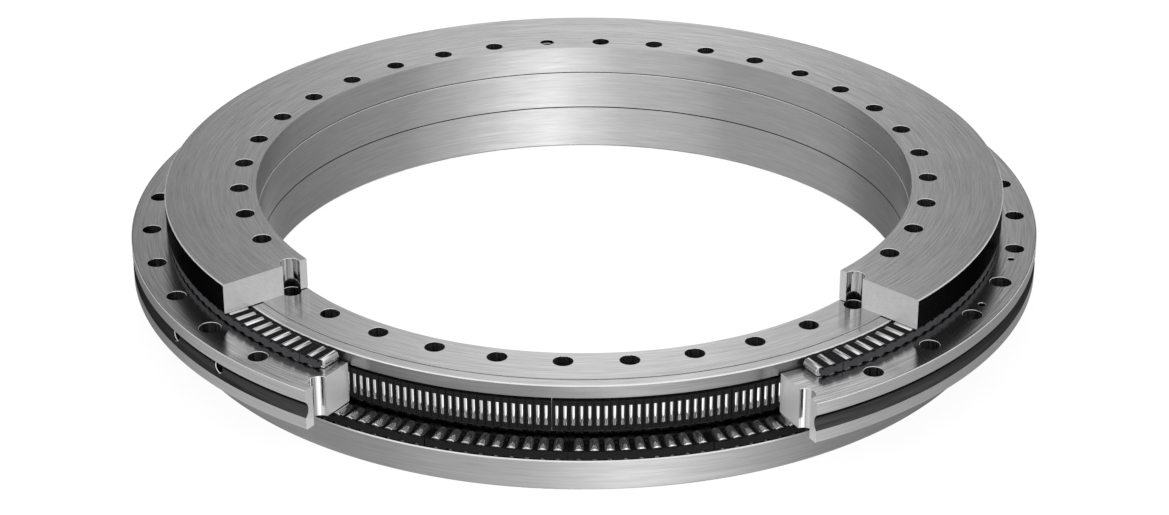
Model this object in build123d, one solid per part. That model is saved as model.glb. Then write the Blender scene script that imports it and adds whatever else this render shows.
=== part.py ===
from build123d import *
from math import degrees, radians, tan
import os

# Rotary table bearing, an axial and radial roller bearing shown as a cutaway.
# Z is the axis of rotation and z = 0 is the bottom face. Angles are in degrees from +X,
# and the cut-out sectors are centred on -Y.

# Rings, all sizes in mm
bore_r = 162.5
hub_wall = 28.5
lip_height = 1.8
flange_t = 15.0
outer_t = 20.0
washer_t = 15.0
cage_rim = 0.7
outer_reach = 17.5
edge_bevel = 0.7
base_bevel = 1.2

# Rollers and their gap to each raceway
axial_roller_d = 4.8
axial_roller_len = 10.0
radial_roller_d = 2.8
radial_roller_len = 10.0
running_gap = 0.1

# Radial raceway between its two shoulders
raceway_w = 16.8

# Seat for the washer on top of the hub
land_start = 4.0
land_w = 20.5
relief = 0.4
bore_line_z = 24.0
bore_line_w = 0.3

# Fixing holes
hole_d = 9.3
hole_bevel = 0.35
hole_step = 10
inner_hole_inset = 8.5
outer_hole_inset = 7.5
counterbore_d = 15.0
counterbore_depth = 8.2
extraction_d = 10.2
extraction_angles = (100, 220, 340)

# Two small tapped holes in the upper face of the outer ring
tapped_d = 3.3
tapped_depth = 8.0
tapped_inset = 6.7
tapped_angles = (333.1, 346.8)

# Lubrication groove and its radial holes
groove_w = 8.0
groove_depth = 2.0
lube_d = 5.2
lube_depth = 9.0
lube_bore_d = 2.5
lube_angles = (215, 225)

# Retaining screw, head down in the washer and tapped into the hub
screw_angle = 100
screw_d = 4.0
screw_len = 20.0
screw_head_d = 7.0
screw_head_h = 4.0
screw_sink = 2.1
screw_key = 3.0
screw_key_depth = 2.2
screw_play = 0.25
thread_play = 0.05

# Cut-out sectors
washer_cut = (220.3, 320.0)
outer_cut = (240.0, 300.0)

# Axial cage segments
axial_segments = 20
axial_inner_wall = 1.9
axial_outer_wall = 1.4
axial_bar = 1.7
axial_end_bar = 1.6
lower_seam = 271.2
upper_seam = 235.03
cut_rollers = 2
upper_gap_segments = 4
cage_face_gap = 0.4
cage_open_gap = 0.5
bar_inset = 0.2
bar_h = 2.2
scallop_w = 5.0
scallop_depth = 0.7
tab_notch_w = 3.6
end_notch_w = 2.4
end_notch_depth = 0.6
pad_len = 2.2
pad_w = 1.0
pad_h = 1.1

# Radial cage segments
radial_segments = 15
radial_cage_t = 2.35
radial_cage_inset = 0.4
radial_cage_rim = 2.4
radial_bar = 0.7
radial_end_bar = 0.66
radial_seam = 268.87
panel_line_w = 0.4
panel_line_depth = 0.5

# Play of cages and rollers
cage_clear = 0.5
pocket_clear = 0.1
radial_pocket_clear = 0.06
seam_gap = 0.5

# Radii, from the bore outwards
race_r = bore_r + hub_wall
lip_r = race_r + lip_height
outer_bore_r = race_r + radial_roller_d + 2 * running_gap
axial_cage_in_r = lip_r + cage_clear
pocket_in_r = axial_cage_in_r + axial_inner_wall
roller_in_r = pocket_in_r + pocket_clear
roller_mid_r = roller_in_r + axial_roller_len / 2
pocket_out_r = roller_in_r + axial_roller_len + pocket_clear
axial_cage_out_r = pocket_out_r + axial_outer_wall
flange_r = axial_cage_out_r + cage_rim
outer_r = flange_r + outer_reach
inner_hole_r = bore_r + inner_hole_inset
outer_hole_r = flange_r + outer_hole_inset
radial_roller_r = (race_r + outer_bore_r) / 2
radial_cage_in_r = race_r + radial_cage_inset
radial_cage_out_r = radial_cage_in_r + radial_cage_t

# Heights, from the bottom face upwards
axial_space = axial_roller_d + 2 * running_gap
outer_low = flange_t + axial_space
outer_high = outer_low + outer_t
washer_low = outer_high + axial_space
top = washer_low + washer_t
lower_row_z = flange_t + axial_space / 2
upper_row_z = outer_high + axial_space / 2
radial_row_z = outer_low + outer_t / 2
hub_top = washer_low

# Angles of the axial cages: from a seam to the first roller, and from roller to roller
axial_segment_angle = 360 / axial_segments
axial_seam_half = degrees(seam_gap / 2 / roller_mid_r)
axial_first = axial_seam_half + degrees((axial_roller_d / 2 + pocket_clear + axial_end_bar) / pocket_in_r)
axial_min_pitch = degrees((axial_roller_d + 2 * pocket_clear + axial_bar) / roller_mid_r)
axial_steps = int((axial_segment_angle - 2 * axial_first) / axial_min_pitch)
axial_pitch = (axial_segment_angle - 2 * axial_first) / axial_steps
axial_angles = [axial_first + axial_pitch * k for k in range(axial_steps + 1)]

# Angles of the radial cage, in the same way
radial_segment_angle = 360 / radial_segments
radial_seam_half = degrees(seam_gap / 2 / radial_roller_r)
radial_pocket_r = radial_roller_d / 2 + radial_pocket_clear
radial_first = radial_seam_half + degrees((radial_pocket_r + radial_end_bar) / radial_roller_r)
radial_min_pitch = degrees((radial_roller_d + radial_bar) / radial_roller_r)
radial_steps = int((radial_segment_angle - 2 * radial_first) / radial_min_pitch)
radial_pitch = (radial_segment_angle - 2 * radial_first) / radial_steps
radial_angles = [radial_first + radial_pitch * k for k in range(radial_steps + 1)]


def turned(outline, start=0.0, arc=360.0):
    """Turns a half section of (radius, height) points about Z, from one angle over an arc."""
    section = Plane.XZ * make_face(Polyline(*outline, close=True))
    return Rot(0, 0, start) * revolve(section, Axis.Z, arc)


def ring_piece(inner, outer, low, high, start=0.0, arc=360.0):
    """A plain ring, or a sector of one."""
    return turned([(inner, low), (outer, low), (outer, high), (inner, high)], start, arc)


def outward(section, z, inner, outer, angle):
    """Runs a flat section outwards along a radius, at one height. Its x lies across the radius."""
    plane = Plane(origin=(inner, 0, z), x_dir=(0, 1, 0), z_dir=(1, 0, 0))
    return Rot(0, 0, angle) * extrude(plane * section, outer - inner)


def around(radius, angle, shape):
    """Moves an upright shape from the axis to a place on a circle."""
    return Rot(0, 0, angle) * Pos(radius, 0, 0) * shape


def between(angle, cut):
    """True for an angle that lies inside a cut-out sector, clear of its two faces."""
    margin = hole_step / 2
    return cut[0] + margin < angle < cut[1] - margin


def hole(diameter, low, high):
    """Cutter for a through hole with a bevel at both rims."""
    r = diameter / 2
    rim = r + hole_bevel
    return turned(
        [
            (0, low - 1),
            (rim, low - 1),
            (rim, low),
            (r, low + hole_bevel),
            (r, high - hole_bevel),
            (rim, high),
            (rim, high + 1),
            (0, high + 1),
        ]
    )


def blind_hole(diameter, low, high):
    """Cutter for a flat-bottomed hole that opens upwards, with a bevel at its rim."""
    r = diameter / 2
    rim = r + hole_bevel
    return turned([(0, low), (r, low), (r, high - hole_bevel), (rim, high), (rim, high + 1), (0, high + 1)])


def keep(name, shape):
    """Writes one node."""
    export_step(shape, f"parts/{name}.step", write_pcurves=False)


# Inner ring: flange, radial raceway between two shoulders, and the seat for the washer
def inner_ring():
    race_low = radial_row_z - raceway_w / 2
    race_high = radial_row_z + raceway_w / 2
    band_z = hub_top - relief
    land_in = bore_r + land_start
    land_out = land_in + land_w
    ring = turned(
        [
            (bore_r + base_bevel, 0),
            (flange_r - base_bevel, 0),
            (flange_r, base_bevel),
            (flange_r, flange_t - edge_bevel),
            (flange_r - edge_bevel, flange_t),
            (lip_r, flange_t),
            (lip_r, race_low),
            (race_r, race_low),
            (race_r, race_high),
            (lip_r, race_high),
            (lip_r, band_z - edge_bevel),
            (lip_r - edge_bevel, band_z),
            (land_out, band_z),
            (land_out, hub_top),
            (land_in, hub_top),
            (land_in, band_z),
            (bore_r + edge_bevel, band_z),
            (bore_r, band_z - edge_bevel),
            (bore_r, bore_line_z + bore_line_w),
            (bore_r + bore_line_w, bore_line_z),
            (bore_r, bore_line_z - bore_line_w),
            (bore_r, base_bevel),
        ]
    )
    drill = hole(hole_d, 0, hub_top) + Rot(180, 0, 0) * blind_hole(counterbore_d, -counterbore_depth, 0)
    tip_z = top - screw_sink - screw_head_h - screw_len
    tapped = blind_hole(screw_d + 2 * thread_play, tip_z - screw_d / 2, hub_top)
    angles = [k for k in range(0, 360, hole_step) if k != screw_angle]
    ring -= [around(inner_hole_r, k, drill) for k in angles]
    return ring - around(inner_hole_r, screw_angle, tapped)


# Shaft locating washer: clamped on the hub, open over the cut-out sector
def shaft_locating_washer():
    b = edge_bevel
    ring = turned(
        [
            (bore_r + b, washer_low),
            (flange_r - b, washer_low),
            (flange_r, washer_low + b),
            (flange_r, top - b),
            (flange_r - b, top),
            (bore_r + b, top),
            (bore_r, top - b),
            (bore_r, washer_low + b),
        ],
        washer_cut[1],
        360 - (washer_cut[1] - washer_cut[0]),
    )
    drill = hole(hole_d, washer_low, top)
    head_seat = top - screw_sink - screw_head_h
    for_screw = hole(screw_d + 2 * screw_play, washer_low, top)
    for_screw += blind_hole(screw_head_d + 2 * screw_play, head_seat, top)
    angles = [k for k in range(0, 360, hole_step) if k != screw_angle and not between(k, washer_cut)]
    ring -= [around(inner_hole_r, k, drill) for k in angles]
    return ring - around(inner_hole_r, screw_angle, for_screw)


# Retaining screw: holds washer and inner ring together in transit
def retaining_screw():
    head_top = top - screw_sink
    head_low = head_top - screw_head_h
    r = screw_head_d / 2
    shank = screw_d / 2
    bevel = screw_head_h / 10
    body = turned(
        [
            (0, head_low - screw_len),
            (shank - bevel, head_low - screw_len),
            (shank, head_low - screw_len + bevel),
            (shank, head_low),
            (r, head_low),
            (r, head_top - bevel),
            (r - bevel, head_top),
            (0, head_top),
        ]
    )
    key = RegularPolygon(screw_key / 2, 6, major_radius=False)
    body -= Pos(0, 0, head_top - screw_key_depth) * extrude(key, screw_key_depth + 1)
    return around(inner_hole_r, screw_angle, body)


# Outer ring: bolted to the housing, with its lubrication groove, open over its own sector
def outer_ring():
    b = edge_bevel
    ring = turned(
        [
            (outer_bore_r + b, outer_low),
            (outer_r - b, outer_low),
            (outer_r, outer_low + b),
            (outer_r, outer_high - b),
            (outer_r - b, outer_high),
            (outer_bore_r + b, outer_high),
            (outer_bore_r, outer_high - b),
            (outer_bore_r, outer_low + b),
        ],
        outer_cut[1],
        360 - (outer_cut[1] - outer_cut[0]),
    )
    groove_arc = (groove_w**2 / 4 + groove_depth**2) / (2 * groove_depth)
    groove_r = outer_r - groove_depth
    ring -= Pos(0, 0, radial_row_z) * Torus(groove_r + groove_arc, groove_arc)
    drill = hole(hole_d, outer_low, outer_high)
    tap = hole(extraction_d, outer_low, outer_high)
    small_tap = blind_hole(tapped_d, outer_high - tapped_depth, outer_high)
    for k in range(0, 360, hole_step):
        if not between(k, outer_cut):
            ring -= around(outer_hole_r, k, tap if k in extraction_angles else drill)
    for k in tapped_angles:
        ring -= around(outer_hole_r + hole_d / 2 - tapped_inset + tapped_d / 2, k, small_tap)
    for k in lube_angles:
        ring -= outward(Circle(lube_d / 2), radial_row_z, groove_r - lube_depth, outer_r, k)
        ring -= outward(Circle(lube_bore_d / 2), radial_row_z, outer_bore_r - 1, outer_r, k)
    return ring


# Axial cage segment, from its seam at angle 0. Its bars lie towards the back, which is up
# where side is +1 and down where it is -1, and its rollers drop in from the open side.
def axial_cage_segment(z, side):
    back = axial_space / 2 - cage_face_gap
    front = -axial_space / 2 + cage_open_gap
    bar_back = back - bar_inset
    bar_front = bar_back - bar_h
    past = axial_space
    arc = axial_segment_angle - 2 * axial_seam_half

    def band(inner, outer, a, b):
        low, high = sorted((z + side * a, z + side * b))
        return ring_piece(inner, outer, low, high, axial_seam_half, arc)

    def cutter(points, inner, outer, angle):
        section = make_face(Polyline(*[(x, side * y) for x, y in points], close=True))
        return outward(section, z, inner, outer, angle)

    def block(width, a, b):
        return [(-width / 2, a), (width / 2, a), (width / 2, b), (-width / 2, b)]

    walls = band(axial_cage_in_r, axial_cage_out_r, front, back)
    walls -= band(pocket_in_r, pocket_out_r, front, back)
    frame = walls + band(pocket_in_r, pocket_out_r, bar_front, bar_back)

    # Pocket: half an octagon around the roller, closed in at the back and open at the front
    q = axial_roller_d / 2 + pocket_clear
    lip = q * tan(radians(22.5))
    pocket = [(-q, -past), (q, -past), (q, lip), (lip, q), (-lip, q), (-q, lip)]
    tab_notch = block(tab_notch_w, -past, front + scallop_depth)
    end_notch = block(end_notch_w, back - end_notch_depth, past)
    scallop_arc = (scallop_w**2 / 4 + scallop_depth**2) / (2 * scallop_depth)
    scallop = Pos(0, side * (front + scallop_depth - scallop_arc)) * Circle(scallop_arc)
    cuts = []
    for k in axial_angles:
        cuts.append(cutter(pocket, pocket_in_r, pocket_out_r, k))
        cuts.append(cutter(tab_notch, axial_cage_in_r - 1, pocket_in_r, k))
        cuts.append(cutter(end_notch, axial_cage_in_r - 1, axial_cage_out_r + 1, k))
        cuts.append(outward(scallop, z, pocket_out_r, axial_cage_out_r + 1, k))
    frame -= cuts

    # Pads on the bars, beside the inner wall
    pad = block(pad_w, bar_front - pad_h, bar_front)
    middles = [k + axial_pitch / 2 for k in axial_angles[:-1]]
    return frame + [cutter(pad, pocket_in_r - 0.1, pocket_in_r + pad_len, k) for k in middles]


# Radial cage segment, from its seam at angle 0. Each pocket is round, so both its windows are
# narrower than the roller and hold it in.
def radial_cage_segment():
    half_h = radial_roller_len / 2 + pocket_clear + radial_cage_rim
    arc = radial_segment_angle - 2 * radial_seam_half
    low = radial_row_z - half_h
    high = radial_row_z + half_h
    frame = ring_piece(radial_cage_in_r, radial_cage_out_r, low, high, radial_seam_half, arc)
    pocket = Pos(0, 0, radial_row_z) * Cylinder(radial_pocket_r, radial_roller_len + 2 * pocket_clear)
    line = Rectangle(panel_line_w, 3 * half_h)
    middles = [k + radial_pitch / 2 for k in radial_angles[:-1]]
    cuts = [around(radial_roller_r, k, pocket) for k in radial_angles]
    line_r = radial_cage_out_r - panel_line_depth
    cuts += [outward(line, radial_row_z, line_r, outer_bore_r, k) for k in middles]
    return frame - cuts


# Rollers
def axial_roller(z, angle):
    return Rot(0, 0, angle) * Pos(roller_mid_r, 0, z) * Rot(0, 90, 0) * Cylinder(axial_roller_d / 2, axial_roller_len)


def radial_roller(angle):
    return around(radial_roller_r, angle, Pos(0, 0, radial_row_z) * Cylinder(radial_roller_d / 2, radial_roller_len))


os.makedirs("parts", exist_ok=True)
keep("inner_ring", inner_ring())
keep("shaft_locating_washer", shaft_locating_washer())
keep("retaining_screw", retaining_screw())
keep("outer_ring", outer_ring())

# Lower row: a full circle of segments with their bars down
segment = axial_cage_segment(lower_row_z, -1)
rollers = []
for i in range(axial_segments):
    start = lower_seam + axial_segment_angle * i
    keep(f"lower_axial_cage_{i + 1:02d}", Rot(0, 0, start) * segment)
    rollers += [axial_roller(lower_row_z, start + k) for k in axial_angles]
keep("lower_axial_rollers", Compound(rollers))

# Upper row, bars up: cut through a roller's place at each end, whole segments between
segment = axial_cage_segment(upper_row_z, 1)
stub = axial_angles[cut_rollers - 1]
bounds = (axial_cage_in_r - 1, axial_cage_out_r + 1, outer_high, washer_low)
last = upper_gap_segments - 1
pieces = [(last, segment & ring_piece(*bounds, axial_segment_angle - stub, stub), axial_angles[-cut_rollers:])]
pieces += [(k, segment, axial_angles) for k in range(upper_gap_segments, axial_segments)]
pieces += [(0, segment & ring_piece(*bounds, 0, stub), axial_angles[:cut_rollers])]
rollers = []
for i, (place, piece, angles) in enumerate(pieces):
    start = upper_seam + axial_segment_angle * place
    keep(f"upper_axial_cage_{i + 1:02d}", Rot(0, 0, start) * piece)
    rollers += [axial_roller(upper_row_z, start + k) for k in angles]
keep("upper_axial_rollers", Compound(rollers))

# Radial row
segment = radial_cage_segment()
rollers = []
for i in range(radial_segments):
    start = radial_seam + radial_segment_angle * i
    keep(f"radial_cage_{i + 1:02d}", Rot(0, 0, start) * segment)
    rollers += [radial_roller(start + k) for k in radial_angles]
keep("radial_rollers", Compound(rollers))
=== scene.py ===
"""Looks of a rotary table bearing, cut open at the front to show its cages and rollers.

The rings, rollers and the retaining screw are finely divided meshes that stand for the
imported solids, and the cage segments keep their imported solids. Everything is in metres.
"""

from __future__ import annotations

import logging
import math
from abc import ABC, abstractmethod
from collections.abc import Callable, Iterable, Sequence
from dataclasses import dataclass, field
from enum import Enum, IntEnum

import bmesh
import bpy
from mathutils import Matrix, Vector

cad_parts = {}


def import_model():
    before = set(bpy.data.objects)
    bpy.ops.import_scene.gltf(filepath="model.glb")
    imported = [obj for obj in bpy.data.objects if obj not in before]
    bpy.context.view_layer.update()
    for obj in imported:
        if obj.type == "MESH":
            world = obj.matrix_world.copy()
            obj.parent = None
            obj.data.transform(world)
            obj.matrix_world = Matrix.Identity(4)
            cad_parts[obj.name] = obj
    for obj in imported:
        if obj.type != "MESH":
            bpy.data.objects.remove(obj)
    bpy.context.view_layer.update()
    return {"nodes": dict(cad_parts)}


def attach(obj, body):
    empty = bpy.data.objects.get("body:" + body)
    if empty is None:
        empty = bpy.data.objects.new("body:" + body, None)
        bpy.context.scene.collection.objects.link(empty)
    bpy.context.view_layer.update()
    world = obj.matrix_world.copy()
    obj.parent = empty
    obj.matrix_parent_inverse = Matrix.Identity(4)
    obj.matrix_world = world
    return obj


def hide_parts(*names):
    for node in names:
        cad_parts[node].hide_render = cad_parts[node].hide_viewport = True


LOG = logging.getLogger("bearing")
MM = 0.001
# Blender's noise seldom leaves this range.
NOISE_SPREAD = (0.3, 0.7)
Socket = bpy.types.NodeSocket
Outline = Sequence[tuple[float, float, "Cut"]]


class Body(str, Enum):
    """Bodies of the bearing that turn against each other."""

    INNER = "inner_assembly"
    OUTER = "outer_ring"
    LOWER = "lower_axial_row"
    UPPER = "upper_axial_row"
    RADIAL = "radial_row"


class Cut(IntEnum):
    """How a steel surface was made, or the painted light or shade it carries. Each value is also its place
    among a ring's materials.
    """

    FACED = 0
    GROUND = 1
    DRILLED = 2
    SAWN = 3
    BEVEL = 4
    LAPPED = 5
    PAINTED_SHADE = 6
    PAINTED_SHADE_LIP = 7
    TURNED = 8
    PAINTED_SHADE_FLANGE = 9
    PAINTED_LIGHT_SAWN = 10
    PAINTED_SHADE_HOLE = 11
    PAINTED_SHADE_WALL = 12
    PAINTED_SHADE_GROOVE = 13
    PAINTED_LIGHT_WALL = 14


@dataclass
class Graph:
    """A node tree of a material or of the world, with short ways to add to it."""

    tree: bpy.types.NodeTree
    material: bpy.types.Material | None = None

    @classmethod
    def new(cls, name: str) -> Graph:
        """Starts a material with an empty tree.

        Args:
            name: The material's name.

        Returns:
            The graph of the new material.
        """
        material = bpy.data.materials.new(name)
        material.use_nodes = True
        material.node_tree.nodes.clear()
        return cls(material.node_tree, material)

    def add(self, kind: str, **settings: object) -> bpy.types.Node:
        """Adds a node.

        Args:
            kind: The node's type, without its ShaderNode prefix.
            settings: Attributes to set on the node.

        Returns:
            The node.
        """
        node = self.tree.nodes.new(f"ShaderNode{kind}")
        for key, value in settings.items():
            setattr(node, key, value)
        return node

    def link(self, source: Socket, target: Socket) -> None:
        """Joins two sockets."""
        self.tree.links.new(source, target)

    def put(self, value: Socket | float, target: Socket) -> None:
        """Links an input to a socket, or sets it to a number.

        Args:
            value: The socket or the number.
            target: The input.
        """
        if isinstance(value, Socket):
            self.link(value, target)
        else:
            target.default_value = value

    def fed(self, kind: str, *values: Socket | float, **settings: object) -> Socket:
        """Adds a node and fills its inputs.

        Args:
            kind: The node's type, without its ShaderNode prefix.
            values: Sockets or numbers for its first inputs.
            settings: Attributes to set on the node.

        Returns:
            Its first output.
        """
        node = self.add(kind, **settings)
        for value, target in zip(values, node.inputs):
            self.put(value, target)
        return node.outputs[0]

    def math(self, operation: str, *values: Socket | float) -> Socket:
        """Adds a math node, by Blender's name of the operation."""
        return self.fed("Math", *values, operation=operation)

    def times(self, first: Socket, second: Socket | float) -> Socket:
        """Multiplies a value by another one."""
        return self.math("MULTIPLY", first, second)

    def mix(self, share: Socket, first: Socket | float, second: Socket | float) -> Socket:
        """Mixes two values.

        Args:
            share: The second one's share.
            first: A socket or a number.
            second: A socket or a number.

        Returns:
            The mixed value.
        """
        node = self.add("Mix")
        for value, slot in ((share, 0), (first, 2), (second, 3)):
            self.put(value, node.inputs[slot])
        return node.outputs[0]

    def mapped(
        self,
        value: Socket,
        edges: tuple[float, float],
        ends: tuple[float, float] = (0.0, 1.0),
        soft: bool = False,
    ) -> Socket:
        """Maps a value from one range onto another, and holds it at the ends.

        Args:
            value: The value.
            edges: Where the range starts and ends.
            ends: The results there.
            soft: Whether the change starts and ends gently.

        Returns:
            The result's socket.
        """
        node = self.add("MapRange", interpolation_type="SMOOTHSTEP" if soft else "LINEAR")
        node.inputs["From Min"].default_value, node.inputs["From Max"].default_value = edges
        node.inputs["To Min"].default_value, node.inputs["To Max"].default_value = ends
        self.link(value, node.inputs["Value"])
        return node.outputs["Result"]

    def place(self) -> tuple[Socket, Socket, Socket, Socket]:
        """Where a point of the surface lies.

        Returns:
            Its X, Y and Z, and its distance from the bearing's axis.
        """
        parts = self.add("SeparateXYZ")
        self.link(self.add("TexCoord").outputs["Object"], parts.inputs[0])
        x, y, z = parts.outputs
        squares = self.math("ADD", self.times(x, x), self.times(y, y))
        return x, y, z, self.math("SQRT", squares)

    def around_axis(self, per_turn: float, outwards: float, upwards: float) -> Socket:
        """Coordinates for tool lines that follow the bearing's axis.

        Args:
            per_turn: How fast the lines change round the axis.
            outwards: How fast they change away from the axis, per metre.
            upwards: How fast they change along the axis, per metre.

        Returns:
            A vector socket.
        """
        x, y, z, radius = self.place()
        turned_x = self.times(self.math("DIVIDE", x, radius), per_turn)
        turned_y = self.times(self.math("DIVIDE", y, radius), per_turn)
        across = self.math("MULTIPLY_ADD", radius, outwards, self.times(z, upwards))
        return self.fed("CombineXYZ", turned_x, turned_y, across)

    def noise(self, vector: Socket, detail: float, roughness: float = 0.5) -> Socket:
        """Adds noise at a scale of one.

        Args:
            vector: Where it is read.
            detail: How many octaves.
            roughness: How strong the finer octaves are.

        Returns:
            The noise's value, about 0 to 1.
        """
        node = self.add("TexNoise")
        node.inputs["Scale"].default_value = 1.0
        node.inputs["Detail"].default_value = detail
        node.inputs["Roughness"].default_value = roughness
        self.link(vector, node.inputs["Vector"])
        return node.outputs["Fac"]

    def grey(self, value: Socket, warmth: float = 0.0) -> Socket:
        """Turns a value into a colour near grey.

        Args:
            value: Its brightness.
            warmth: How much less blue than red it is.

        Returns:
            The colour.
        """
        return self.fed("CombineColor", value, value, self.times(value, 1.0 - warmth))

    def surface(self, metallic: float, **constants: float | tuple[float, ...]) -> bpy.types.Node:
        """Adds the surface shader and the output.

        Args:
            metallic: One for steel, zero for plastic.
            constants: Values of other inputs, with underscores for spaces.

        Returns:
            The shader node.
        """
        shader = self.add("BsdfPrincipled")
        shader.inputs["Metallic"].default_value = metallic
        for key, value in constants.items():
            shader.inputs[key.replace("_", " ")].default_value = value
        self.link(shader.outputs[0], self.add("OutputMaterial").inputs[0])
        return shader

    def shine(self, shader: bpy.types.Node, pattern: Socket, gloss: tuple[float, float]) -> None:
        """Gives a shader its roughness, smoothest where a pattern is lightest."""
        self.link(self.mapped(pattern, NOISE_SPREAD, (gloss[1], gloss[0])), shader.inputs["Roughness"])

    def tone(self, shader: bpy.types.Node, pattern: Socket, shade: tuple[float, float]) -> None:
        """Gives a shader a grey that runs between two shades with a pattern."""
        self.link(self.grey(self.mapped(pattern, NOISE_SPREAD, shade)), shader.inputs["Base Color"])

    def bump(self, shader: bpy.types.Node, height: Socket, depth: float) -> None:
        """Gives a shader a bump.

        Args:
            shader: The surface shader.
            height: Its height, 0 to 1.
            depth: The height's size in metres.
        """
        node = self.add("Bump")
        node.inputs["Strength"].default_value = 1.0
        node.inputs["Distance"].default_value = depth
        self.link(height, node.inputs["Height"])
        self.link(node.outputs[0], shader.inputs["Normal"])


@dataclass(frozen=True)
class TurnedSteel:
    """Steel with tool lines round the bearing's axis, from fine ones to broad faint bands."""

    name: str
    shade: tuple[float, float]
    gloss: tuple[float, float]
    line: float = 0.35 * MM
    depth: float = 4e-6
    grain: float = 0.75
    bare: float = 1.0
    edge: float = 1.0
    length: float = 9.0
    middle_size: float = 0.4
    middle_share: float = 0.32
    broad_length: float = 0.15
    broad_size: float = 0.08
    broad_share: float = 0.08
    tangent_turn: float = 0.25

    def layer(self, g: Graph, along: float, across: float, roughness: float) -> Socket:
        """One layer of lines.

        Args:
            g: The material's graph.
            along: How fast it changes along the lines, over the finest layer's.
            across: How fast it changes across them, over the finest layer's.
            roughness: How strong its finer octave is.

        Returns:
            The layer's value.
        """
        pitch = across / self.line
        return g.noise(g.around_axis(along * self.length, pitch, pitch), detail=2.0, roughness=roughness)

    def build(self) -> bpy.types.Material:
        """Makes the material.

        Returns:
            The material.
        """
        g = Graph.new(self.name)
        fine = self.layer(g, along=1.0, across=1.0, roughness=0.7)
        middle = self.layer(g, along=self.middle_size, across=self.middle_size, roughness=0.6)
        broad = self.layer(g, along=self.broad_length, across=self.broad_size, roughness=0.5)
        middle, broad = g.times(middle, self.middle_share), g.times(broad, self.broad_share)
        lines = g.math("MULTIPLY_ADD", fine, 1.0 - self.middle_share, middle)
        pattern = g.math("MULTIPLY_ADD", lines, 1.0 - self.broad_share, broad)
        shader = g.surface(
            self.bare,
            Anisotropic=self.grain,
            Anisotropic_Rotation=self.tangent_turn,
            Specular_Tint=(self.edge, self.edge, self.edge, 1),
        )
        g.tone(shader, pattern, self.shade)
        g.shine(shader, pattern, self.gloss)
        g.bump(shader, lines, self.depth)
        g.link(g.add("Tangent", direction_type="RADIAL", axis="Z").outputs[0], shader.inputs["Tangent"])
        return g.material


@dataclass(frozen=True)
class SawnSteel:
    """Steel cut through along the axis, with a fine slanting grain."""

    name: str
    shade: tuple[float, float] = (0.70, 0.84)
    gloss: tuple[float, float] = (0.28, 0.4)
    line: float = 0.3 * MM
    drawn_out: float = 0.08
    depth: float = 2e-6
    slant: float = math.radians(42)
    bare: float = 0.3

    def build(self) -> bpy.types.Material:
        """Makes the material.

        Returns:
            The material.
        """
        g = Graph.new(self.name)
        _, _, z, radius = g.place()
        cos, sin = math.cos(self.slant), math.sin(self.slant)
        across = g.math("SUBTRACT", g.times(radius, sin), g.times(z, cos))
        along = g.math("ADD", g.times(radius, cos), g.times(z, sin))
        across = g.times(across, 1.0 / self.line)
        along = g.times(along, self.drawn_out / self.line)
        grain = g.noise(g.fed("CombineXYZ", across, along), detail=3.0)
        shader = g.surface(self.bare)
        g.tone(shader, grain, self.shade)
        g.shine(shader, grain, self.gloss)
        g.bump(shader, grain, self.depth)
        return g.material


@dataclass(frozen=True)
class PolishedSteel:
    """Polished steel of rollers and holes, with streaks along their length: polishing marks and painted
    reflection stripes.
    """

    name: str
    shade: tuple[float, float] = (0.45, 1.0)
    gloss: tuple[float, float] = (0.04, 0.12)
    bare: float = 0.95
    per_turn: float = 190.0
    outwards: float = 0.0

    def build(self) -> bpy.types.Material:
        """Makes the material.

        Returns:
            The material.
        """
        g = Graph.new(self.name)
        # Stripes along each roller or hole wall: polishing marks and painted reflection.
        streaks = g.noise(g.around_axis(self.per_turn, self.outwards, 0.0), detail=2.0)
        shader = g.surface(self.bare)
        g.tone(shader, streaks, self.shade)
        g.shine(shader, streaks, self.gloss)
        return g.material


@dataclass(frozen=True)
class MouldedPlastic:
    """Glass-filled black plastic of the cages, with painted shade on its level faces."""

    name: str
    shade: tuple[float, float] = (0.012, 0.026)
    gloss: tuple[float, float] = (0.34, 0.48)
    reflection: float = 0.04
    level: float = 0.25
    level_edges: tuple[float, float] = (0.3, 0.8)
    coolness: float = 0.06
    grain: float = 0.5 * MM
    depth: float = 6e-6

    def build(self) -> bpy.types.Material:
        """Makes the material.

        Returns:
            The material.
        """
        g = Graph.new(self.name)
        scaled = g.add("VectorMath", operation="SCALE")
        scaled.inputs["Scale"].default_value = 1.0 / self.grain
        g.link(g.add("TexCoord").outputs["Object"], scaled.inputs[0])
        grain = g.noise(scaled.outputs[0], detail=3.0)
        shader = g.surface(0.0, Specular_IOR_Level=self.reflection)
        # Painted shade: faces that lie level get a darker grey than upright ones.
        facing = g.add("SeparateXYZ")
        g.link(g.add("NewGeometry").outputs["Normal"], facing.inputs[0])
        flatness = g.math("ABSOLUTE", facing.outputs["Z"])
        painted_top_shade = g.mapped(flatness, self.level_edges, (1.0, self.level), soft=True)
        shade = g.times(g.mapped(grain, NOISE_SPREAD, self.shade), painted_top_shade)
        g.link(g.grey(shade, -self.coolness), shader.inputs["Base Color"])
        g.shine(shader, grain, self.gloss)
        g.bump(shader, grain, self.depth)
        return g.material


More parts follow.
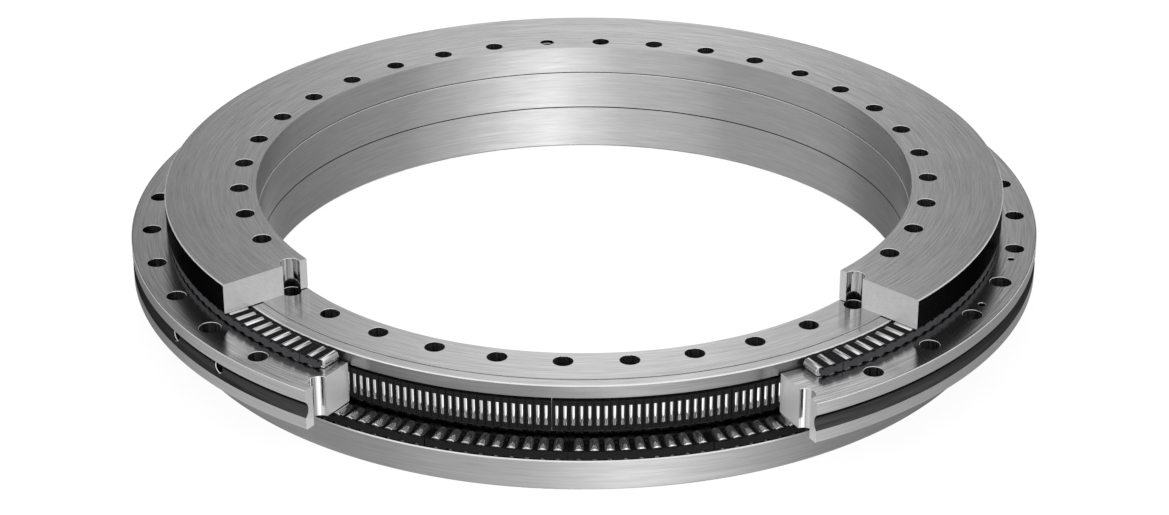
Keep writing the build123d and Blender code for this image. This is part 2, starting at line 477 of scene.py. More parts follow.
@dataclass
class Finishes:
    """Every finish of the bearing, made once."""

    ring: list[bpy.types.Material] = field(default_factory=list)
    roller: bpy.types.Material | None = None
    upright_roller: bpy.types.Material | None = None
    cage: bpy.types.Material | None = None
    painted_light_upper_cage: bpy.types.Material | None = None

    def build(self) -> Finishes:
        """Makes all the materials.

        Returns:
            These finishes.
        """
        # After the name come shade and gloss. Turned steel goes on with line, depth, grain and bare,
        # and polished steel with bare, per_turn and outwards.
        made = {
            Cut.FACED: TurnedSteel("faced_steel", (0.35, 0.69), (0.20, 0.34), 0.45 * MM, 6e-6),
            Cut.GROUND: TurnedSteel("ground_steel", (0.44, 0.60), (0.27, 0.35), 0.5 * MM, 2e-6, 0.9),
            Cut.DRILLED: PolishedSteel("drilled_steel", (0.30, 0.95), (0.08, 0.16), 1.0, 300.0, 900.0),
            Cut.SAWN: SawnSteel("sawn_steel"),
            # Bevels are painted lighter than their faces, as a painted highlight along each edge.
            Cut.BEVEL: TurnedSteel("painted_light_bevel_steel", (0.72, 0.84), (0.24, 0.3), 0.3 * MM, 1e-6, 0.3, 0.5),
            Cut.LAPPED: TurnedSteel("lapped_steel", (0.42, 0.72), (0.08, 0.16), 0.45 * MM, 4e-6, 0.8),
            # Painted shade: near-black steel where gaps, small grooves, undersides and thin dark lines lie in
            # shade.
            Cut.PAINTED_SHADE: TurnedSteel("painted_shade_steel", (0.012, 0.04), (0.16, 0.24), 0.3 * MM, 1e-6, 0.6, edge=0.2),
            # Ground steel painted darker for the lip: painted shade.
            Cut.PAINTED_SHADE_LIP: TurnedSteel("painted_shade_lip_steel", (0.22, 0.33), (0.30, 0.36), 0.5 * MM, 2e-6, 0.9),
            Cut.TURNED: TurnedSteel("turned_steel", (0.36, 0.94), (0.13, 0.22), 0.5 * MM, 5e-6, 0.85),
            # Ground steel painted darker for the flange's outer wall: painted shade.
            Cut.PAINTED_SHADE_FLANGE: TurnedSteel("painted_shade_flange_steel", (0.36, 0.48), (0.30, 0.38), 0.5 * MM, 2e-6, 0.9),
            # Sawn steel painted lighter for the outer ring's cut ends: painted light.
            Cut.PAINTED_LIGHT_SAWN: SawnSteel("painted_light_sawn_steel", (0.88, 0.98)),
            # Painted shade inside holes that the cut leaves closed.
            Cut.PAINTED_SHADE_HOLE: PolishedSteel("painted_shade_hole_steel", (0.02, 0.34), (0.22, 0.32), 0.9, 260.0, 800.0),
            # Steel painted near black for the washer's outer wall: painted shade.
            Cut.PAINTED_SHADE_WALL: TurnedSteel(
                "painted_shade_wall_steel", (0.014, 0.036), (0.30, 0.40), 0.4 * MM, 2e-6, 0.5, edge=0.3
            ),
            # Dark steel for the groove: painted shade.
            Cut.PAINTED_SHADE_GROOVE: TurnedSteel(
                "painted_shade_groove_steel", (0.05, 0.11), (0.12, 0.20), 0.4 * MM, 2e-6, 0.7, edge=0.5
            ),
            # Ground steel painted lighter for the outer ring's outer wall: painted light.
            Cut.PAINTED_LIGHT_WALL: TurnedSteel("painted_light_wall_steel", (0.58, 0.78), (0.27, 0.35), 0.5 * MM, 2e-6, 0.9),
        }
        self.ring = [made[kind].build() for kind in sorted(made)]
        self.roller = PolishedSteel("roller_steel").build()
        self.upright_roller = PolishedSteel("upright_roller_steel", (0.3, 1.0), per_turn=520.0).build()
        self.cage = MouldedPlastic("cage_plastic").build()
        # A lighter copy of the cage plastic, with still darker tops: painted light and painted shade.
        self.painted_light_upper_cage = MouldedPlastic("upper_cage_plastic", (0.05, 0.09), level=0.08).build()
        return self


def new_object(name: str, mesh: bpy.types.Mesh) -> bpy.types.Object:
    """Puts a mesh into the scene.

    Args:
        name: The object's name.
        mesh: Its mesh.

    Returns:
        The object.
    """
    made = bpy.data.objects.new(name, mesh)
    bpy.context.scene.collection.objects.link(made)
    return made


def swept(
    outline: Outline, steps: int, start: float = 0.0, arc: float = 360.0, ends: Cut = Cut.SAWN
) -> bmesh.types.BMesh:
    """Sweeps a closed half section round Z.

    Args:
        outline: Radius and height of each corner, and the cut of the surface that leaves it.
        steps: How many flats the swept arc has.
        start: Angle of its first end in degrees.
        arc: How far it is swept in degrees.
        ends: The cut of its ends.

    Returns:
        A closed mesh, with ends where it isn't a full turn.
    """
    bm = bmesh.new()
    whole = arc >= 360.0
    rings = []
    for step in range(steps if whole else steps + 1):
        angle = math.radians(start + arc * step / steps)
        cos, sin = math.cos(angle), math.sin(angle)
        rings.append([bm.verts.new((r * cos, r * sin, z)) for r, z, _ in outline])
    count = len(outline)
    for step in range(steps):
        here, there = rings[step], rings[(step + 1) % len(rings)]
        for k, (_, _, kind) in enumerate(outline):
            after = (k + 1) % count
            bm.faces.new((here[k], there[k], there[after], here[after])).material_index = kind
    if not whole:
        for end in (rings[0], list(reversed(rings[-1]))):
            bm.faces.new(end).material_index = ends
    bmesh.ops.recalc_face_normals(bm, faces=bm.faces)
    return bm


def lathed(profile: Iterable[tuple[float, float]], flats: int) -> tuple[list[Vector], list[list[int]]]:
    """A closed turned form about Z.

    Args:
        profile: Radius and height of each ring of corners, from the bottom up.
        flats: How many flats go round.

    Returns:
        The corners, and the faces: band by band, then the bottom and the top.
    """
    angles = [2 * math.pi * k / flats for k in range(flats)]
    corners = [Vector((r * math.cos(a), r * math.sin(a), z)) for r, z in profile for a in angles]
    top = len(corners) - flats
    faces = []
    for row in range(0, top, flats):
        for n in range(flats):
            m = (n + 1) % flats
            faces.append([row + n, row + m, row + flats + m, row + flats + n])
    return corners, [*faces, list(reversed(range(flats))), list(range(top, top + flats))]


@dataclass(frozen=True)
class Drill:
    """A drilled hole's cutter, with bevelled rims, and below it a narrower pilot where it has one.

    It stands over each face that it opens, so that no skin is left there.
    """

    radius: float
    low: float
    high: float
    bevel: float = 0.17 * MM
    bevel_low: bool = True
    over: float = 1.0 * MM
    flats: int = 64
    wall: Cut = Cut.DRILLED
    pilot: float = 0.0
    pilot_low: float = 0.0

    def outline(self) -> Outline:
        """Half section of the cutter, from its lowest point.

        Returns:
            Its corners.
        """
        narrow, low = (self.pilot, self.pilot_low) if self.pilot else (self.radius, self.low)
        points = []
        if self.bevel_low:
            rim = narrow + self.bevel
            points += [(rim, low - self.over, self.wall), (rim, low, Cut.BEVEL)]
            low += self.bevel
        points.append((narrow, low, self.wall))
        if self.pilot:
            points += [(narrow, self.low, self.wall), (self.radius, self.low, self.wall)]
        rim = self.radius + self.bevel
        points += [(self.radius, self.high - self.bevel, Cut.BEVEL), (rim, self.high, self.wall)]
        points.append((rim, self.high + self.over, self.wall))
        return points

    def join(self, tools: bmesh.types.BMesh, place: Matrix) -> None:
        """Adds the cutter to a mesh of cutters.

        Args:
            tools: The cutters, which do not meet each other.
            place: Where this one stands; its own axis is Z.
        """
        points = self.outline()
        corners, faces = lathed([(r, z) for r, z, _ in points], self.flats)
        corners = [tools.verts.new(place @ corner) for corner in corners]
        for k, face in enumerate(faces):
            band = k // self.flats
            kind = points[band][2] if band < len(points) - 1 else self.wall
            tools.faces.new([corners[n] for n in face]).material_index = kind


def on_circle(radius: float, degrees: float) -> Matrix:
    """A place on a circle about Z, at an angle from +X, turned to face outwards."""
    return Matrix.Rotation(math.radians(degrees), 4, "Z") @ Matrix.Translation((radius, 0, 0))


def radial(degrees: float, height: float) -> Matrix:
    """A place on the axis at a height, whose own Z runs outwards at an angle from +X."""
    turn = Matrix.Rotation(math.radians(degrees), 4, "Z")
    return turn @ Matrix.Translation((0, 0, height)) @ Matrix.Rotation(math.pi / 2, 4, "Y")


def bored(body: bmesh.types.BMesh, tools: bmesh.types.BMesh, name: str) -> bpy.types.Mesh:
    """Takes cutters out of a body.

    Args:
        body: The body.
        tools: All the cutters.
        name: The result's name.

    Returns:
        The mesh that is left.
    """
    meshes = [bpy.data.meshes.new(name), bpy.data.meshes.new(name + "_tools")]
    for form, mesh in zip((body, tools), meshes):
        form.to_mesh(mesh)
        form.free()
    work, tool = (new_object(mesh.name, mesh) for mesh in meshes)
    cut = work.modifiers.new("cut", "BOOLEAN")
    cut.operation = "DIFFERENCE"
    cut.solver = "EXACT"
    cut.object = tool
    result = bpy.data.meshes.new_from_object(work.evaluated_get(bpy.context.evaluated_depsgraph_get()))
    for thing in (work, tool):
        bpy.data.objects.remove(thing)
    for mesh in meshes:
        bpy.data.meshes.remove(mesh)
    return result


def dress(piece: bpy.types.Object, materials: Sequence[bpy.types.Material], sharp: float = 24.0) -> None:
    """Gives a piece its materials, and smooth shading between sharp edges.

    Args:
        piece: The piece.
        materials: Its materials, in the order of its faces' places.
        sharp: Edges over this angle in degrees stay sharp.
    """
    for material in materials:
        piece.data.materials.append(material)
    piece.data.shade_smooth()
    piece.data.set_sharp_from_angle(angle=math.radians(sharp))


def settle(piece: bpy.types.Object, body: Body, slot: str, node: str) -> bpy.types.Object:
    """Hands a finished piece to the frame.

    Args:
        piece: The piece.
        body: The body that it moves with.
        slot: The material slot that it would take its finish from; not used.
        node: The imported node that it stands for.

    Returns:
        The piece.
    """
    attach(piece, body.value)
    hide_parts(node)
    LOG.info("%s: %d faces for %s", piece.name, len(piece.data.polygons), node)
    return piece


@dataclass
class BearingSizes:
    """Sizes that the sub-assemblies share, in metres and in degrees anticlockwise from +X."""

    bore: float = 162.5 * MM
    race: float = 191.0 * MM
    lip: float = 192.8 * MM
    outer_bore: float = 194.0 * MM
    flange: float = 207.5 * MM
    outer: float = 225.0 * MM
    flange_top: float = 15.0 * MM
    outer_low: float = 20.0 * MM
    outer_high: float = 40.0 * MM
    washer_low: float = 45.0 * MM
    top: float = 60.0 * MM
    middle: float = 30.0 * MM
    bevel: float = 0.5 * MM
    joint_bevel: float = 0.25 * MM
    hole: float = 4.65 * MM
    hole_step: int = 10
    inner_circle: float = 171.0 * MM
    outer_circle: float = 215.0 * MM
    screw_angle: int = 100
    head_seat: float = 53.9 * MM
    washer_cut: tuple[float, float] = (220.3, 320.0)
    outer_cut: tuple[float, float] = (240.0, 300.0)
    flats: int = 720

    def open_to(self, degrees: float, cut: tuple[float, float]) -> bool:
        """Whether a hole stands in material that a cut-out sector has taken away."""
        return cut[0] + self.hole_step / 2 < degrees < cut[1] - self.hole_step / 2

    def wall(self, degrees: float, cut: tuple[float, float]) -> Cut:
        """The finish of a hole's wall: painted shade where the hole stays closed, and the lighter drilled
        steel where the cut opens it.
        """
        opened = min(abs(degrees - side) for side in cut) < self.hole_step / 2
        return Cut.DRILLED if opened else Cut.PAINTED_SHADE_HOLE


@dataclass
class SteelPart(ABC):
    """A turned part, as one mesh that has all the finishes of the rings."""

    sizes: BearingSizes
    name: str = ""
    node: str = ""
    body: Body = Body.INNER
    slot: str = "ring_steel"

    @abstractmethod
    def mesh(self) -> bpy.types.Mesh:
        """Makes the part's mesh in its place."""

    def opened(self, outline: Outline, cut: tuple[float, float], ends: Cut) -> bmesh.types.BMesh:
        """Sweeps a half section all round but for a cut-out sector."""
        arc = 360 - (cut[1] - cut[0])
        return swept(outline, round(self.sizes.flats * arc / 360), cut[1], arc, ends)

    def build(self, finishes: Finishes) -> bpy.types.Object:
        """Makes the part.

        Args:
            finishes: The bearing's finishes.

        Returns:
            The part.
        """
        part = new_object(self.name, self.mesh())
        dress(part, finishes.ring)
        return settle(part, self.body, self.slot, self.node)


@dataclass
class InnerRing(SteelPart):
    """L-shaped inner ring: flange, radial raceway and the seat for the washer."""

    name: str = "inner_ring_steel"
    node: str = "inner_ring"
    race_half: float = 8.4 * MM
    base_bevel: float = 1.2 * MM
    relief: float = 0.4 * MM
    land: tuple[float, float] = (166.5 * MM, 187.0 * MM)
    painted_shade_line: float = 0.3 * MM
    bore_line: float = 24.0 * MM
    bore_line_half: float = 0.3 * MM
    sink_radius: float = 7.5 * MM
    sink_depth: float = 8.2 * MM
    thread_radius: float = 2.05 * MM
    thread_low: float = 31.9 * MM

    def outline(self) -> Outline:
        """Half section of the ring.

        Returns:
            Its corners, anticlockwise from the bottom of the bore.
        """
        s = self.sizes
        band = s.washer_low - self.relief
        race_low, race_high = s.middle - self.race_half, s.middle + self.race_half
        return [
            (s.bore + self.base_bevel, 0, Cut.FACED),
            (s.flange - self.base_bevel, 0, Cut.BEVEL),
            # The flange's outer wall is painted darker: painted shade.
            (s.flange, self.base_bevel, Cut.PAINTED_SHADE_FLANGE),
            (s.flange, s.flange_top - s.bevel, Cut.BEVEL),
            (s.flange - s.bevel, s.flange_top, Cut.FACED),
            # The band below the raceway, deep in the gap, has painted shade.
            (s.lip, s.flange_top, Cut.PAINTED_SHADE),
            (s.lip, race_low, Cut.GROUND),
            (s.race, race_low, Cut.GROUND),
            (s.race, race_high, Cut.GROUND),
            # The lip over the raceway is painted darker: painted shade.
            (s.lip, race_high, Cut.PAINTED_SHADE_LIP),
            (s.lip, band - s.bevel, Cut.BEVEL),
            (s.lip - s.bevel, band, Cut.LAPPED),
            # At the seat's step: a thin painted shade line, a painted highlight on its outer wall, and
            # painted shade on its inner wall.
            (self.land[1] + self.painted_shade_line, band, Cut.PAINTED_SHADE),
            (self.land[1], band, Cut.BEVEL),
            (self.land[1], s.washer_low, Cut.LAPPED),
            (self.land[0], s.washer_low, Cut.PAINTED_SHADE),
            (self.land[0], band, Cut.LAPPED),
            (s.bore + s.joint_bevel, band, Cut.BEVEL),
            (s.bore, band - s.joint_bevel, Cut.GROUND),
            # The small groove round the bore has painted shade.
            (s.bore, self.bore_line + self.bore_line_half, Cut.PAINTED_SHADE),
            (s.bore + self.bore_line_half, self.bore_line, Cut.PAINTED_SHADE),
            (s.bore, self.bore_line - self.bore_line_half, Cut.GROUND),
            (s.bore, self.base_bevel, Cut.BEVEL),
        ]

    def mesh(self) -> bpy.types.Mesh:
        """Turns and drills the ring.

        Returns:
            Its mesh.
        """
        s = self.sizes
        thread = Drill(self.thread_radius, self.thread_low, s.washer_low, bevel_low=False)
        sunk = Drill(
            self.sink_radius, -self.sink_depth, 0.0, wall=Cut.PAINTED_SHADE_HOLE, pilot=s.hole, pilot_low=-s.washer_low
        )
        tools = bmesh.new()
        for degrees in range(0, 360, s.hole_step):
            place = on_circle(s.inner_circle, degrees)
            if degrees == s.screw_angle:
                thread.join(tools, place)
            else:
                sunk.join(tools, place @ Matrix.Rotation(math.pi, 4, "X"))
        return bored(swept(self.outline(), s.flats), tools, self.name)


@dataclass
class LocatingWasher(SteelPart):
    """Flat washer on top of the hub, with a sector cut out at the front."""

    name: str = "locating_washer_steel"
    node: str = "shaft_locating_washer"
    head_hole: float = 3.75 * MM
    shank_hole: float = 2.25 * MM

    def mesh(self) -> bpy.types.Mesh:
        """Turns, drills and cuts the washer.

        Returns:
            Its mesh.
        """
        s = self.sizes
        b = s.bevel
        outline = [
            (s.bore + s.joint_bevel, s.washer_low, Cut.FACED),
            # The underside beyond the hub has painted shade, and the outer wall is painted near black:
            # painted shade.
            (s.lip, s.washer_low, Cut.PAINTED_SHADE),
            (s.flange - b, s.washer_low, Cut.PAINTED_SHADE),
            (s.flange, s.washer_low + b, Cut.PAINTED_SHADE_WALL),
            (s.flange, s.top - b, Cut.BEVEL),
            (s.flange - b, s.top, Cut.FACED),
            (s.bore + s.joint_bevel, s.top, Cut.GROUND),
            (s.bore, s.top - s.joint_bevel, Cut.GROUND),
            (s.bore, s.washer_low + s.joint_bevel, Cut.BEVEL),
        ]
        seat = Drill(self.head_hole, s.head_seat, s.top, pilot=self.shank_hole, pilot_low=s.washer_low)
        tools = bmesh.new()
        for degrees in range(0, 360, s.hole_step):
            place = on_circle(s.inner_circle, degrees)
            if degrees == s.screw_angle:
                seat.join(tools, place)
            elif not s.open_to(degrees, s.washer_cut):
                Drill(s.hole, s.washer_low, s.top, wall=s.wall(degrees, s.washer_cut)).join(tools, place)
        return bored(self.opened(outline, s.washer_cut, Cut.SAWN), tools, self.name)


@dataclass
class OuterRing(SteelPart):
    """Outer ring with its lubrication groove, with a sector cut out at the front."""

    name: str = "outer_ring_steel"
    node: str = "outer_ring"
    body: Body = Body.OUTER
    edge: float = 0.35 * MM
    painted_shade_line: float = 0.2 * MM
    groove_half: float = 4.0 * MM
    groove_depth: float = 2.0 * MM
    groove_steps: int = 14
    thread_radius: float = 5.1 * MM
    thread_angles: tuple[int, ...] = (100, 220, 340)
    tapped_radius: float = 1.65 * MM
    tapped_depth: float = 8.0 * MM
    tapped_circle: float = 214.6 * MM
    tapped_angles: tuple[float, ...] = (333.1, 346.8)
    lube_radius: float = 2.6 * MM
    lube_depth: float = 9.0 * MM
    lube_bevel: float = 0.3 * MM
    lube_bore: float = 1.25 * MM
    lube_angles: tuple[int, ...] = (215, 225)

    def outline(self) -> Outline:
        """Half section of the ring, with the groove as an arc.

        Returns:
            Its corners.
        """
        s = self.sizes
        b = s.bevel
        arc = (self.groove_half**2 + self.groove_depth**2) / (2 * self.groove_depth)
        half = math.asin(self.groove_half / arc)
        centre = s.outer - self.groove_depth + arc
        groove = []
        for k in range(self.groove_steps + 1):
            a = -half + 2 * half * k / self.groove_steps
            # The groove's faces have painted shade; the face that leaves it, on the wall above, is painted
            # lighter.
            kind = Cut.PAINTED_SHADE_GROOVE if k < self.groove_steps else Cut.PAINTED_LIGHT_WALL
            groove.append((centre - arc * math.cos(a), s.middle + arc * math.sin(a), kind))
        return [
            (s.outer_bore + b, s.outer_low, Cut.LAPPED),
            (s.outer - b, s.outer_low, Cut.BEVEL),
            # The outer wall below the groove is painted lighter: painted light.
            (s.outer, s.outer_low + b, Cut.PAINTED_LIGHT_WALL),
            *groove,
            (s.outer, s.outer_high - self.edge, Cut.BEVEL),
            # A thin painted shade line just inside the top's outer edge.
            (s.outer - self.edge, s.outer_high, Cut.PAINTED_SHADE),
            (s.outer - self.edge - self.painted_shade_line, s.outer_high, Cut.TURNED),
            (s.outer_bore + b, s.outer_high, Cut.BEVEL),
            (s.outer_bore, s.outer_high - b, Cut.GROUND),
            (s.outer_bore, s.outer_low + b, Cut.BEVEL),
        ]

    def mesh(self) -> bpy.types.Mesh:
        """Turns, drills and cuts the ring.

        Returns:
            Its mesh.
        """
        s = self.sizes
        tools = bmesh.new()
        for degrees in range(0, 360, s.hole_step):
            if s.open_to(degrees, s.outer_cut):
                continue
            radius = self.thread_radius if degrees in self.thread_angles else s.hole
            drill = Drill(radius, s.outer_low, s.outer_high, wall=s.wall(degrees, s.outer_cut))
            drill.join(tools, on_circle(s.outer_circle, degrees))
        tap = Drill(self.tapped_radius, s.outer_high - self.tapped_depth, s.outer_high, bevel_low=False)
        for degrees in self.tapped_angles:
            tap.join(tools, on_circle(self.tapped_circle, degrees))
        groove = s.outer - self.groove_depth
        lube = Drill(
            self.lube_radius,
            groove - self.lube_depth,
            groove,
            self.lube_bevel,
            over=self.groove_depth,
            pilot=self.lube_bore,
            pilot_low=s.outer_bore,
        )
        for degrees in self.lube_angles:
            lube.join(tools, radial(degrees, s.middle))
        # The cut ends take sawn steel painted lighter: painted light.
        return bored(self.opened(self.outline(), s.outer_cut, Cut.PAINTED_LIGHT_SAWN), tools, self.name)


@dataclass
class RetainingScrew(SteelPart):
    """Socket head screw that holds washer and inner ring together in transit.

    Its half section starts at `core`, which leaves a hole as thin as a hair on its axis.
    """

    name: str = "retaining_screw_steel"
    node: str = "retaining_screw"
    slot: str = "screw_steel"
    core: float = 0.02 * MM
    head: float = 3.5 * MM
    shank: float = 2.0 * MM
    head_high: float = 57.9 * MM
    tip: float = 33.9 * MM
    key: float = 1.5 * MM
    key_depth: float = 2.2 * MM
    key_sides: int = 6
    bevel: float = 0.4 * MM
    flats: int = 64

    def mesh(self) -> bpy.types.Mesh:
        """Makes the screw's mesh in its place.

        Returns:
            The mesh.
        """
        s = self.sizes
        b, high = self.bevel, self.head_high
        outline = [
            (self.core, self.tip, Cut.FACED),
            (self.shank - b, self.tip, Cut.BEVEL),
            (self.shank, self.tip + b, Cut.GROUND),
            (self.shank, s.head_seat, Cut.FACED),
            (self.head, s.head_seat, Cut.GROUND),
            (self.head, high - b, Cut.BEVEL),
            # The head's top, down in its counterbore, has painted shade.
            (self.head - b, high, Cut.PAINTED_SHADE),
            (self.core, high, Cut.DRILLED),
        ]
        corner = self.key / math.cos(math.pi / self.key_sides)
        low = high - self.key_depth
        socket = Drill(corner, low, high, bevel=0.0, bevel_low=False, flats=self.key_sides)
        tools = bmesh.new()
        socket.join(tools, Matrix.Identity(4))
        mesh = bored(swept(outline, self.flats), tools, self.name)
        mesh.transform(on_circle(s.inner_circle, s.screw_angle))
        return mesh


@dataclass
class RollerRow:
    """Rollers of one row, all alike, as one piece."""

    node: str
    body: Body
    radius: float
    length: float
    end_bevel: float = 0.35 * MM
    end_turns: tuple[int, ...] = (0, 30, 60, 90)
    flats: int = 32
    sharp: float = 50.0
    upright: bool = False

    def profile(self) -> list[tuple[float, float]]:
        """Half section of a roller from one end to the other.

        Returns:
            Radius and place along the roller.
        """
        half = self.length / 2
        b = self.end_bevel
        turn = [math.radians(a) for a in self.end_turns]
        end = [(self.radius - b + b * math.sin(a), half - b + b * math.cos(a)) for a in turn]
        return [(r, -z) for r, z in end] + [(r, z) for r, z in reversed(end)]

    def build(self, places: Sequence[Matrix], finishes: Finishes) -> bpy.types.Object:
        """Makes the rollers.

        Args:
            places: Where each roller lies; its own axis is Z.
            finishes: The bearing's finishes.

        Returns:
            All of them, as one piece.
        """
        corners, sides = lathed(self.profile(), self.flats)
        points: list[Vector] = []
        faces: list[list[int]] = []
        for place in places:
            faces += [[len(points) + n for n in side] for side in sides]
            points += [place @ corner for corner in corners]
        mesh = bpy.data.meshes.new(self.node)
        mesh.from_pydata(points, [], faces)
        rollers = new_object(self.node + "_steel", mesh)
        dress(rollers, [finishes.upright_roller if self.upright else finishes.roller], self.sharp)
        return settle(rollers, self.body, "roller_steel", self.node)


@dataclass
class CageRing:
    """One row: where the seams of its cage are, and the rollers in it."""

    segments: int
    seam: float
    first: float
    steps: int
    rollers: RollerRow

    @property
    def angle(self) -> float:
        """Angle of one segment in degrees."""
        return 360 / self.segments

    def roller_angles(self) -> list[float]:
        """Angles of one segment's rollers from its seam, in degrees."""
        pitch = (self.angle - 2 * self.first) / self.steps
        return [self.first + pitch * k for k in range(self.steps + 1)]

    def fill(
        self,
        put: Callable[[float], Matrix],
        finishes: Finishes,
        kept: Callable[[int, int], bool] = lambda segment, roller: True,
    ) -> bpy.types.Object:
        """Makes all the rollers.

        Args:
            put: Gives the place of a roller at an angle.
            finishes: The bearing's finishes.
            kept: Whether a segment has its roller of this number.

        Returns:
            All of them, as one piece.
        """
        places = []
        for segment in range(self.segments):
            start = self.seam + self.angle * segment
            places += [put(start + a) for k, a in enumerate(self.roller_angles()) if kept(segment, k)]
        return self.rollers.build(places, finishes)


@dataclass
class Rows:
    """The three rows of rollers in their cages."""

    sizes: BearingSizes
    axial_radius: float = 2.4 * MM
    axial_length: float = 10.0 * MM
    axial_circle: float = 200.3 * MM
    lower_height: float = 17.5 * MM
    upper_height: float = 42.5 * MM
    lower_seam: float = 271.2
    upper_seam: float = 235.03
    axial_segments: int = 20
    axial_first: float = 1.27496
    axial_steps: int = 8
    gap_segments: int = 4
    stub_rollers: int = 2
    radial_radius: float = 1.4 * MM
    radial_length: float = 10.0 * MM
    radial_bevel: float = 0.25 * MM
    radial_flats: int = 28
    radial_circle: float = 192.5 * MM
    radial_seam: float = 268.87
    radial_segments: int = 15
    radial_first: float = 0.70540
    radial_steps: int = 21

    def axial_row(self, node: str, body: Body, seam: float) -> CageRing:
        """The axial row of some packed rollers, with a seam of its cage at an angle in degrees."""
        rollers = RollerRow(node, body, self.axial_radius, self.axial_length)
        return CageRing(self.axial_segments, seam, self.axial_first, self.axial_steps, rollers)

    def radial_row(self) -> CageRing:
        """The radial row.

        Returns:
            The row.
        """
        rollers = RollerRow(
            "radial_rollers",
            Body.RADIAL,
            self.radial_radius,
            self.radial_length,
            self.radial_bevel,
            flats=self.radial_flats,
            upright=True,
        )
        return CageRing(self.radial_segments, self.radial_seam, self.radial_first, self.radial_steps, rollers)

    def upper_kept(self, segment: int, roller: int) -> bool:
        """Whether the cut left a roller of the upper row.

        Args:
            segment: Its segment, from the cut's first one on.
            roller: Its number in the segment.

        Returns:
            Whether it is there.
        """
        last = self.gap_segments - 1
        if segment == 0:
            return roller < self.stub_rollers
        if segment == last:
            return roller > self.axial_steps - self.stub_rollers
        return segment > last

    def build(self, finishes: Finishes) -> None:
        """Makes the rollers of all three rows.

        Args:
            finishes: The bearing's finishes.
        """
        lower = self.axial_row("lower_axial_rollers", Body.LOWER, self.lower_seam)
        upper = self.axial_row("upper_axial_rollers", Body.UPPER, self.upper_seam)
        upright = self.radial_row()
        out = Matrix.Translation((0, 0, self.axial_circle))
        up = Matrix.Translation((0, 0, self.sizes.middle))
        lower.fill(lambda a: radial(a, self.lower_height) @ out, finishes)
        upper.fill(lambda a: radial(a, self.upper_height) @ out, finishes, self.upper_kept)
        upright.fill(lambda a: on_circle(self.radial_circle, a) @ up, finishes)


@dataclass
class Cages:
    """Cage segments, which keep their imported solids."""

    mark: str = "_cage_"
    upper: str = "upper"

    def dress(self, nodes: dict[str, bpy.types.Object], finishes: Finishes) -> None:
        """Gives every cage segment its plastic.

        Args:
            nodes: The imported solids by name.
            finishes: The bearing's finishes.
        """
        for name, segment in nodes.items():
            if self.mark in name:
                segment.data.materials.clear()
                # The upper cage takes the lighter copy of the plastic: painted light.
                plastic = finishes.painted_light_upper_cage if name.startswith(self.upper) else finishes.cage
                segment.data.materials.append(plastic)
                LOG.info("%s: %s", name, plastic.name)


@dataclass(frozen=True)
class Lamp:
    """A soft rectangular lamp that faces the bearing. Mirror rays don't see it."""

    name: str
    place: tuple[float, float, float]
    size: tuple[float, float]
    power: float

    def build(self) -> None:
        """Adds the lamp."""
        data = bpy.data.lights.new(self.name, "AREA")
        data.shape = "RECTANGLE"
        data.size, data.size_y = self.size
        data.energy = self.power
        lamp = bpy.data.objects.new(self.name, data)
        bpy.context.scene.collection.objects.link(lamp)
        lamp.location = self.place
        lamp.rotation_euler = (-Vector(self.place)).to_track_quat("-Z", "Y").to_euler()
        lamp.visible_glossy = False


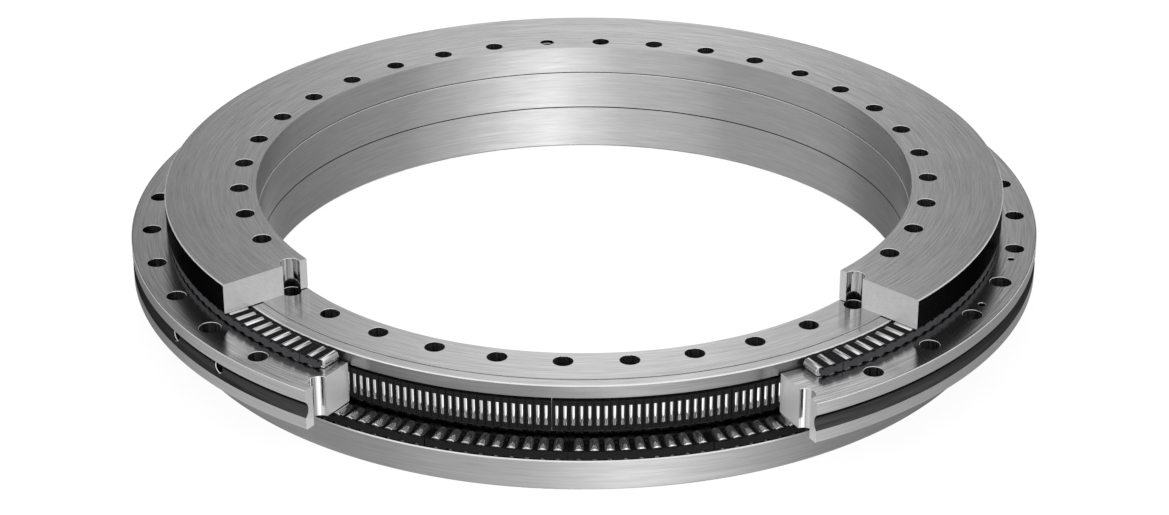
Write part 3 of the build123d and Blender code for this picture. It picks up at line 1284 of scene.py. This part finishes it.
@dataclass
class Studio:
    """Pale floor, soft lights and the camera."""

    sizes: BearingSizes
    eye: tuple[float, float, float] = (68.16 * MM, -1227.0 * MM, 625.4 * MM)
    roll: float = -0.124
    lens: float = 83.4
    sensor: float = 36.0
    shift: tuple[float, float] = (0.0004, -0.0287)
    clip: tuple[float, float] = (0.05, 100.0)
    floor_half: float = 40.0
    paint: float = 0.14
    glow: float = 0.9
    brightest: float = 2.0
    horizon: tuple[float, float] = (-0.1, 0.15)
    zenith: float = 1.05
    zenith_edges: tuple[float, float] = (0.66, 0.88)
    low_panels: tuple[tuple[float, float], ...] = (
        (-180, 1.0),
        (-168, 0.45),
        (-145, 0.22),
        (-119, 0.30),
        (-104, 0.56),
        (-50, 0.60),
        (-43, 0.84),
        (-14, 1.02),
        (4, 1.55),
        (14, 2.0),
        (26, 1.8),
        (38, 1.35),
        (56, 0.85),
        (75, 0.5),
        (125, 0.34),
        (145, 0.3),
        (168, 0.45),
        (180, 1.0),
    )
    high_panels: tuple[tuple[float, float], ...] = (
        (-177, 1.0),
        (-164, 0.16),
        (-95, 0.34),
        (-80, 0.7),
        (0, 0.95),
        (75, 0.7),
        (125, 0.42),
        (169, 0.12),
        (180, 0.85),
    )
    lamps: tuple[Lamp, ...] = (
        Lamp("overhead", (0.0, 0.4, 2.2), (1.2, 0.8), 6.0),
        Lamp("left", (-1.6, -1.2, 1.3), (1.0, 1.0), 13.0),
        Lamp("right", (1.6, -1.2, 1.3), (1.0, 1.0), 12.0),
    )

    def camera(self) -> None:
        """Sets up the camera at the photograph's angle."""
        data = bpy.data.cameras.new("camera")
        data.lens = self.lens
        data.sensor_width = self.sensor
        data.sensor_fit = "HORIZONTAL"
        data.shift_x, data.shift_y = self.shift
        data.clip_start, data.clip_end = self.clip
        camera = bpy.data.objects.new("camera", data)
        bpy.context.scene.collection.objects.link(camera)
        camera.location = self.eye
        look = Vector((0, 0, self.sizes.middle)) - Vector(self.eye)
        camera.rotation_euler = look.to_track_quat("-Z", "Y").to_euler()
        camera.rotation_euler.rotate_axis("Z", math.radians(self.roll))
        bpy.context.scene.camera = camera

    def floor(self) -> None:
        """Lays the white floor. Mirror rays go through it, so steel shows the room's panels there."""
        half = self.floor_half
        mesh = bpy.data.meshes.new("floor")
        corners = [(-half, -half, 0), (half, -half, 0), (half, half, 0), (-half, half, 0)]
        mesh.from_pydata(corners, [], [(0, 1, 2, 3)])
        floor = new_object("floor", mesh)
        g = Graph.new("floor_white")
        paint = g.add("BsdfDiffuse")
        paint.inputs["Color"].default_value = (self.paint, self.paint, self.paint, 1)
        glow = g.add("Emission")
        seen = g.add("LightPath")
        g.link(g.times(seen.outputs["Is Camera Ray"], self.glow), glow.inputs["Strength"])
        lit = g.fed("AddShader", paint.outputs[0], glow.outputs[0])
        total = g.fed("MixShader", seen.outputs["Is Glossy Ray"], lit, g.fed("BsdfTransparent"))
        g.link(total, g.add("OutputMaterial").inputs[0])
        mesh.materials.append(g.material)

    def panels(self, g: Graph, share: Socket, levels: Sequence[tuple[float, float]]) -> Socket:
        """Adds the panels that stand round the room.

        Args:
            g: The world's graph.
            share: Which way a ray goes, 0 to 1 from behind over the left and round.
            levels: Angle from the front in degrees and brightness of each panel.

        Returns:
            Their brightness over the brightest one's.
        """
        ramp = g.add("ValToRGB")
        ramp.color_ramp.interpolation = "EASE"
        stops = ramp.color_ramp.elements
        while len(stops) < len(levels):
            stops.new(0.5)
        for stop, (degrees, level) in zip(stops, levels):
            stop.position = degrees / 360 + 0.5
            grey = level / self.brightest
            stop.color = (grey, grey, grey, 1)
        g.link(share, ramp.inputs[0])
        return ramp.outputs[0]

    def world(self) -> None:
        """A room with soft panels all round, brightest low in front, and a light ceiling."""
        world = bpy.data.worlds.new("room")
        bpy.context.scene.world = world
        world.use_nodes = True
        g = Graph(world.node_tree)
        ray = g.add("SeparateXYZ")
        g.link(g.add("TexCoord").outputs["Generated"], ray.inputs[0])
        x, y, z = ray.outputs
        turn = g.math("ARCTAN2", x, g.times(y, -1.0))
        share = g.mapped(turn, (-math.pi, math.pi))
        low, high = (self.panels(g, share, levels) for levels in (self.low_panels, self.high_panels))
        walls = g.mix(g.mapped(z, self.horizon, soft=True), low, high)
        level = g.mix(g.mapped(z, self.zenith_edges, soft=True), walls, self.zenith / self.brightest)
        background = g.tree.nodes["Background"]
        background.inputs["Color"].default_value = (1, 1, 1, 1)
        g.link(g.times(level, self.brightest), background.inputs["Strength"])

    def build(self) -> None:
        """Sets up the whole studio."""
        self.camera()
        self.floor()
        self.world()
        for lamp in self.lamps:
            lamp.build()
        bpy.context.scene.view_settings.view_transform = "Standard"


def main() -> None:
    """Builds the bearing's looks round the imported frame."""
    logging.basicConfig(level=logging.INFO, format="%(message)s")
    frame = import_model()
    sizes = BearingSizes()
    finishes = Finishes().build()
    InnerRing(sizes).build(finishes)
    LocatingWasher(sizes).build(finishes)
    OuterRing(sizes).build(finishes)
    RetainingScrew(sizes).build(finishes)
    Rows(sizes).build(finishes)
    Cages().dress(frame["nodes"], finishes)
    Studio(sizes).build()


if __name__ == "__main__":
    main()
